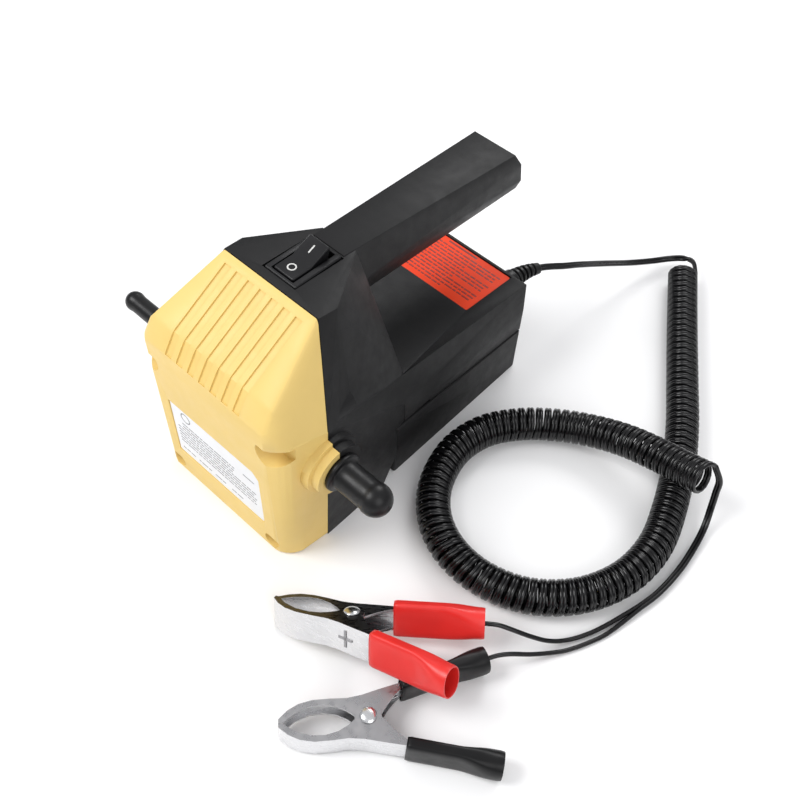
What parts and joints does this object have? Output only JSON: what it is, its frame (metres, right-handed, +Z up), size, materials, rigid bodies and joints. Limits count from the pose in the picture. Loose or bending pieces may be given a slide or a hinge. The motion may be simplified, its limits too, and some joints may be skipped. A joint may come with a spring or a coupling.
{
  "type": "fluid transfer pump",
  "caption": "Compact low-voltage gear pump in a two-colour handled case, with capped side nozzles, a rocker switch and a coiled battery lead ending in spring clamps.",
  "frame": {"origin": "on the underside of the base, midway across the case and under the middle of the housing", "axes": "+Z up from the standing surface, +Y from the pump head to the handle's free end, +X to the wide outlet nozzle"},
  "size_m": [0.2588, 0.3475, 0.1257],
  "materials": {
    "aluminium": "die cast",
    "black_plastic": "fine spark-eroded texture",
    "black_rubber": "satin",
    "brass": "plain",
    "cable_black": "glossy vinyl",
    "dark_steel": "oiled",
    "ferrite": "sintered, dark",
    "plated_steel": "bright zinc plate",
    "red_label": "printed film",
    "red_vinyl": "dipped vinyl",
    "white_label": "printed film",
    "yellow_plastic": "satin moulded"
  },
  "bodies": {
    "case": {"front_cover": "yellow_plastic", "upper_housing": "black_plastic", "base_tray": "black_plastic", "front_label": "white_label", "rear_label": "red_label", "handle_underside": "black_plastic", "switch_body": "black_plastic", "switch_bezel": "black_plastic", "switch_terminal_1": "brass", "switch_terminal_2": "brass", "pump_body": "aluminium", "pump_cover": "aluminium", "pump_screw_1": "plated_steel", "pump_screw_2": "plated_steel", "pump_screw_3": "plated_steel", "pump_screw_4": "plated_steel", "idler_pin": "plated_steel", "shaft_seal": "black_rubber", "spigot_outlet": "black_plastic", "spigot_inlet": "black_plastic", "motor_can": "dark_steel", "motor_end_plate": "aluminium", "front_bearing": "plated_steel", "magnet_left": "ferrite", "brush_left": "ferrite", "magnet_right": "ferrite", "brush_right": "ferrite", "cover_screw_upper_right": "plated_steel", "cover_screw_upper_left": "plated_steel", "cover_screw_lower_right": "plated_steel", "cover_screw_lower_left": "plated_steel", "base_screw_1": "plated_steel", "base_screw_2": "plated_steel", "supply_lead": "red_vinyl", "motor_lead": "cable_black", "strain_relief": "black_rubber", "lead_cable": "cable_black", "coiled_cable": "cable_black", "tail_cable": "cable_black", "positive_wire": "cable_black", "negative_wire": "cable_black", "positive_fixed_arm": "plated_steel", "positive_wired_sleeve": "red_vinyl", "positive_rivet": "plated_steel", "positive_spring": "plated_steel", "negative_fixed_arm": "plated_steel", "negative_wired_sleeve": "black_rubber", "negative_rivet": "plated_steel", "negative_spring": "plated_steel"},
    "rocker": {"rocker": "black_plastic"},
    "rotor": {"motor_shaft": "plated_steel", "armature": "dark_steel", "drive_gear": "dark_steel"},
    "idler": {"driven_gear": "dark_steel"},
    "outlet_cap": {"cap_outlet": "black_rubber"},
    "inlet_cap": {"cap_inlet": "black_rubber"},
    "positive_jaw": {"positive_moving_arm": "plated_steel", "positive_free_sleeve": "red_vinyl"},
    "negative_jaw": {"negative_moving_arm": "plated_steel", "negative_free_sleeve": "black_rubber"}
  },
  "joints": [
    {"name": "rocker_tilt", "type": "hinge", "parent": "case", "child": "rocker", "pos_m": [0, -0.034, 0.1193], "axis": [-1, 0, 0], "range_deg": [0, 24]},
    {"name": "rotor_spin", "type": "hinge", "parent": "case", "child": "rotor", "pos_m": [0, -0.064, 0.034], "axis": [0, 1, 0], "continuous": true},
    {"name": "idler_spin", "type": "hinge", "parent": "case", "child": "idler", "pos_m": [0, -0.064, 0.058], "axis": [0, 1, 0], "continuous": true},
    {"name": "outlet_cap_slide", "type": "slide", "parent": "case", "child": "outlet_cap", "axis": [1, 0, 0], "range_m": [0, 0.035]},
    {"name": "inlet_cap_slide", "type": "slide", "parent": "case", "child": "inlet_cap", "axis": [-1, 0, 0], "range_m": [0, 0.035]},
    {"name": "positive_jaw_pivot", "type": "hinge", "parent": "case", "child": "positive_jaw", "pos_m": [0.08821, -0.09361, 0.01429], "axis": [-0.3865, 0.3608, 0.8488], "range_deg": [0, 14], "stiffness_Nm_per_rad": 0.5, "springref_deg": -28.65, "deforming": ["positive_spring"]},
    {"name": "negative_jaw_pivot", "type": "hinge", "parent": "case", "child": "negative_jaw", "pos_m": [0.1195, -0.1163, 0.008], "axis": [0, 0, 1], "range_deg": [0, 14], "stiffness_Nm_per_rad": 0.5, "springref_deg": -28.65, "deforming": ["negative_spring"]}
  ],
  "couplings": [
    {"joint": "idler_spin", "follows": "rotor_spin", "ratio": -1}
  ]
}
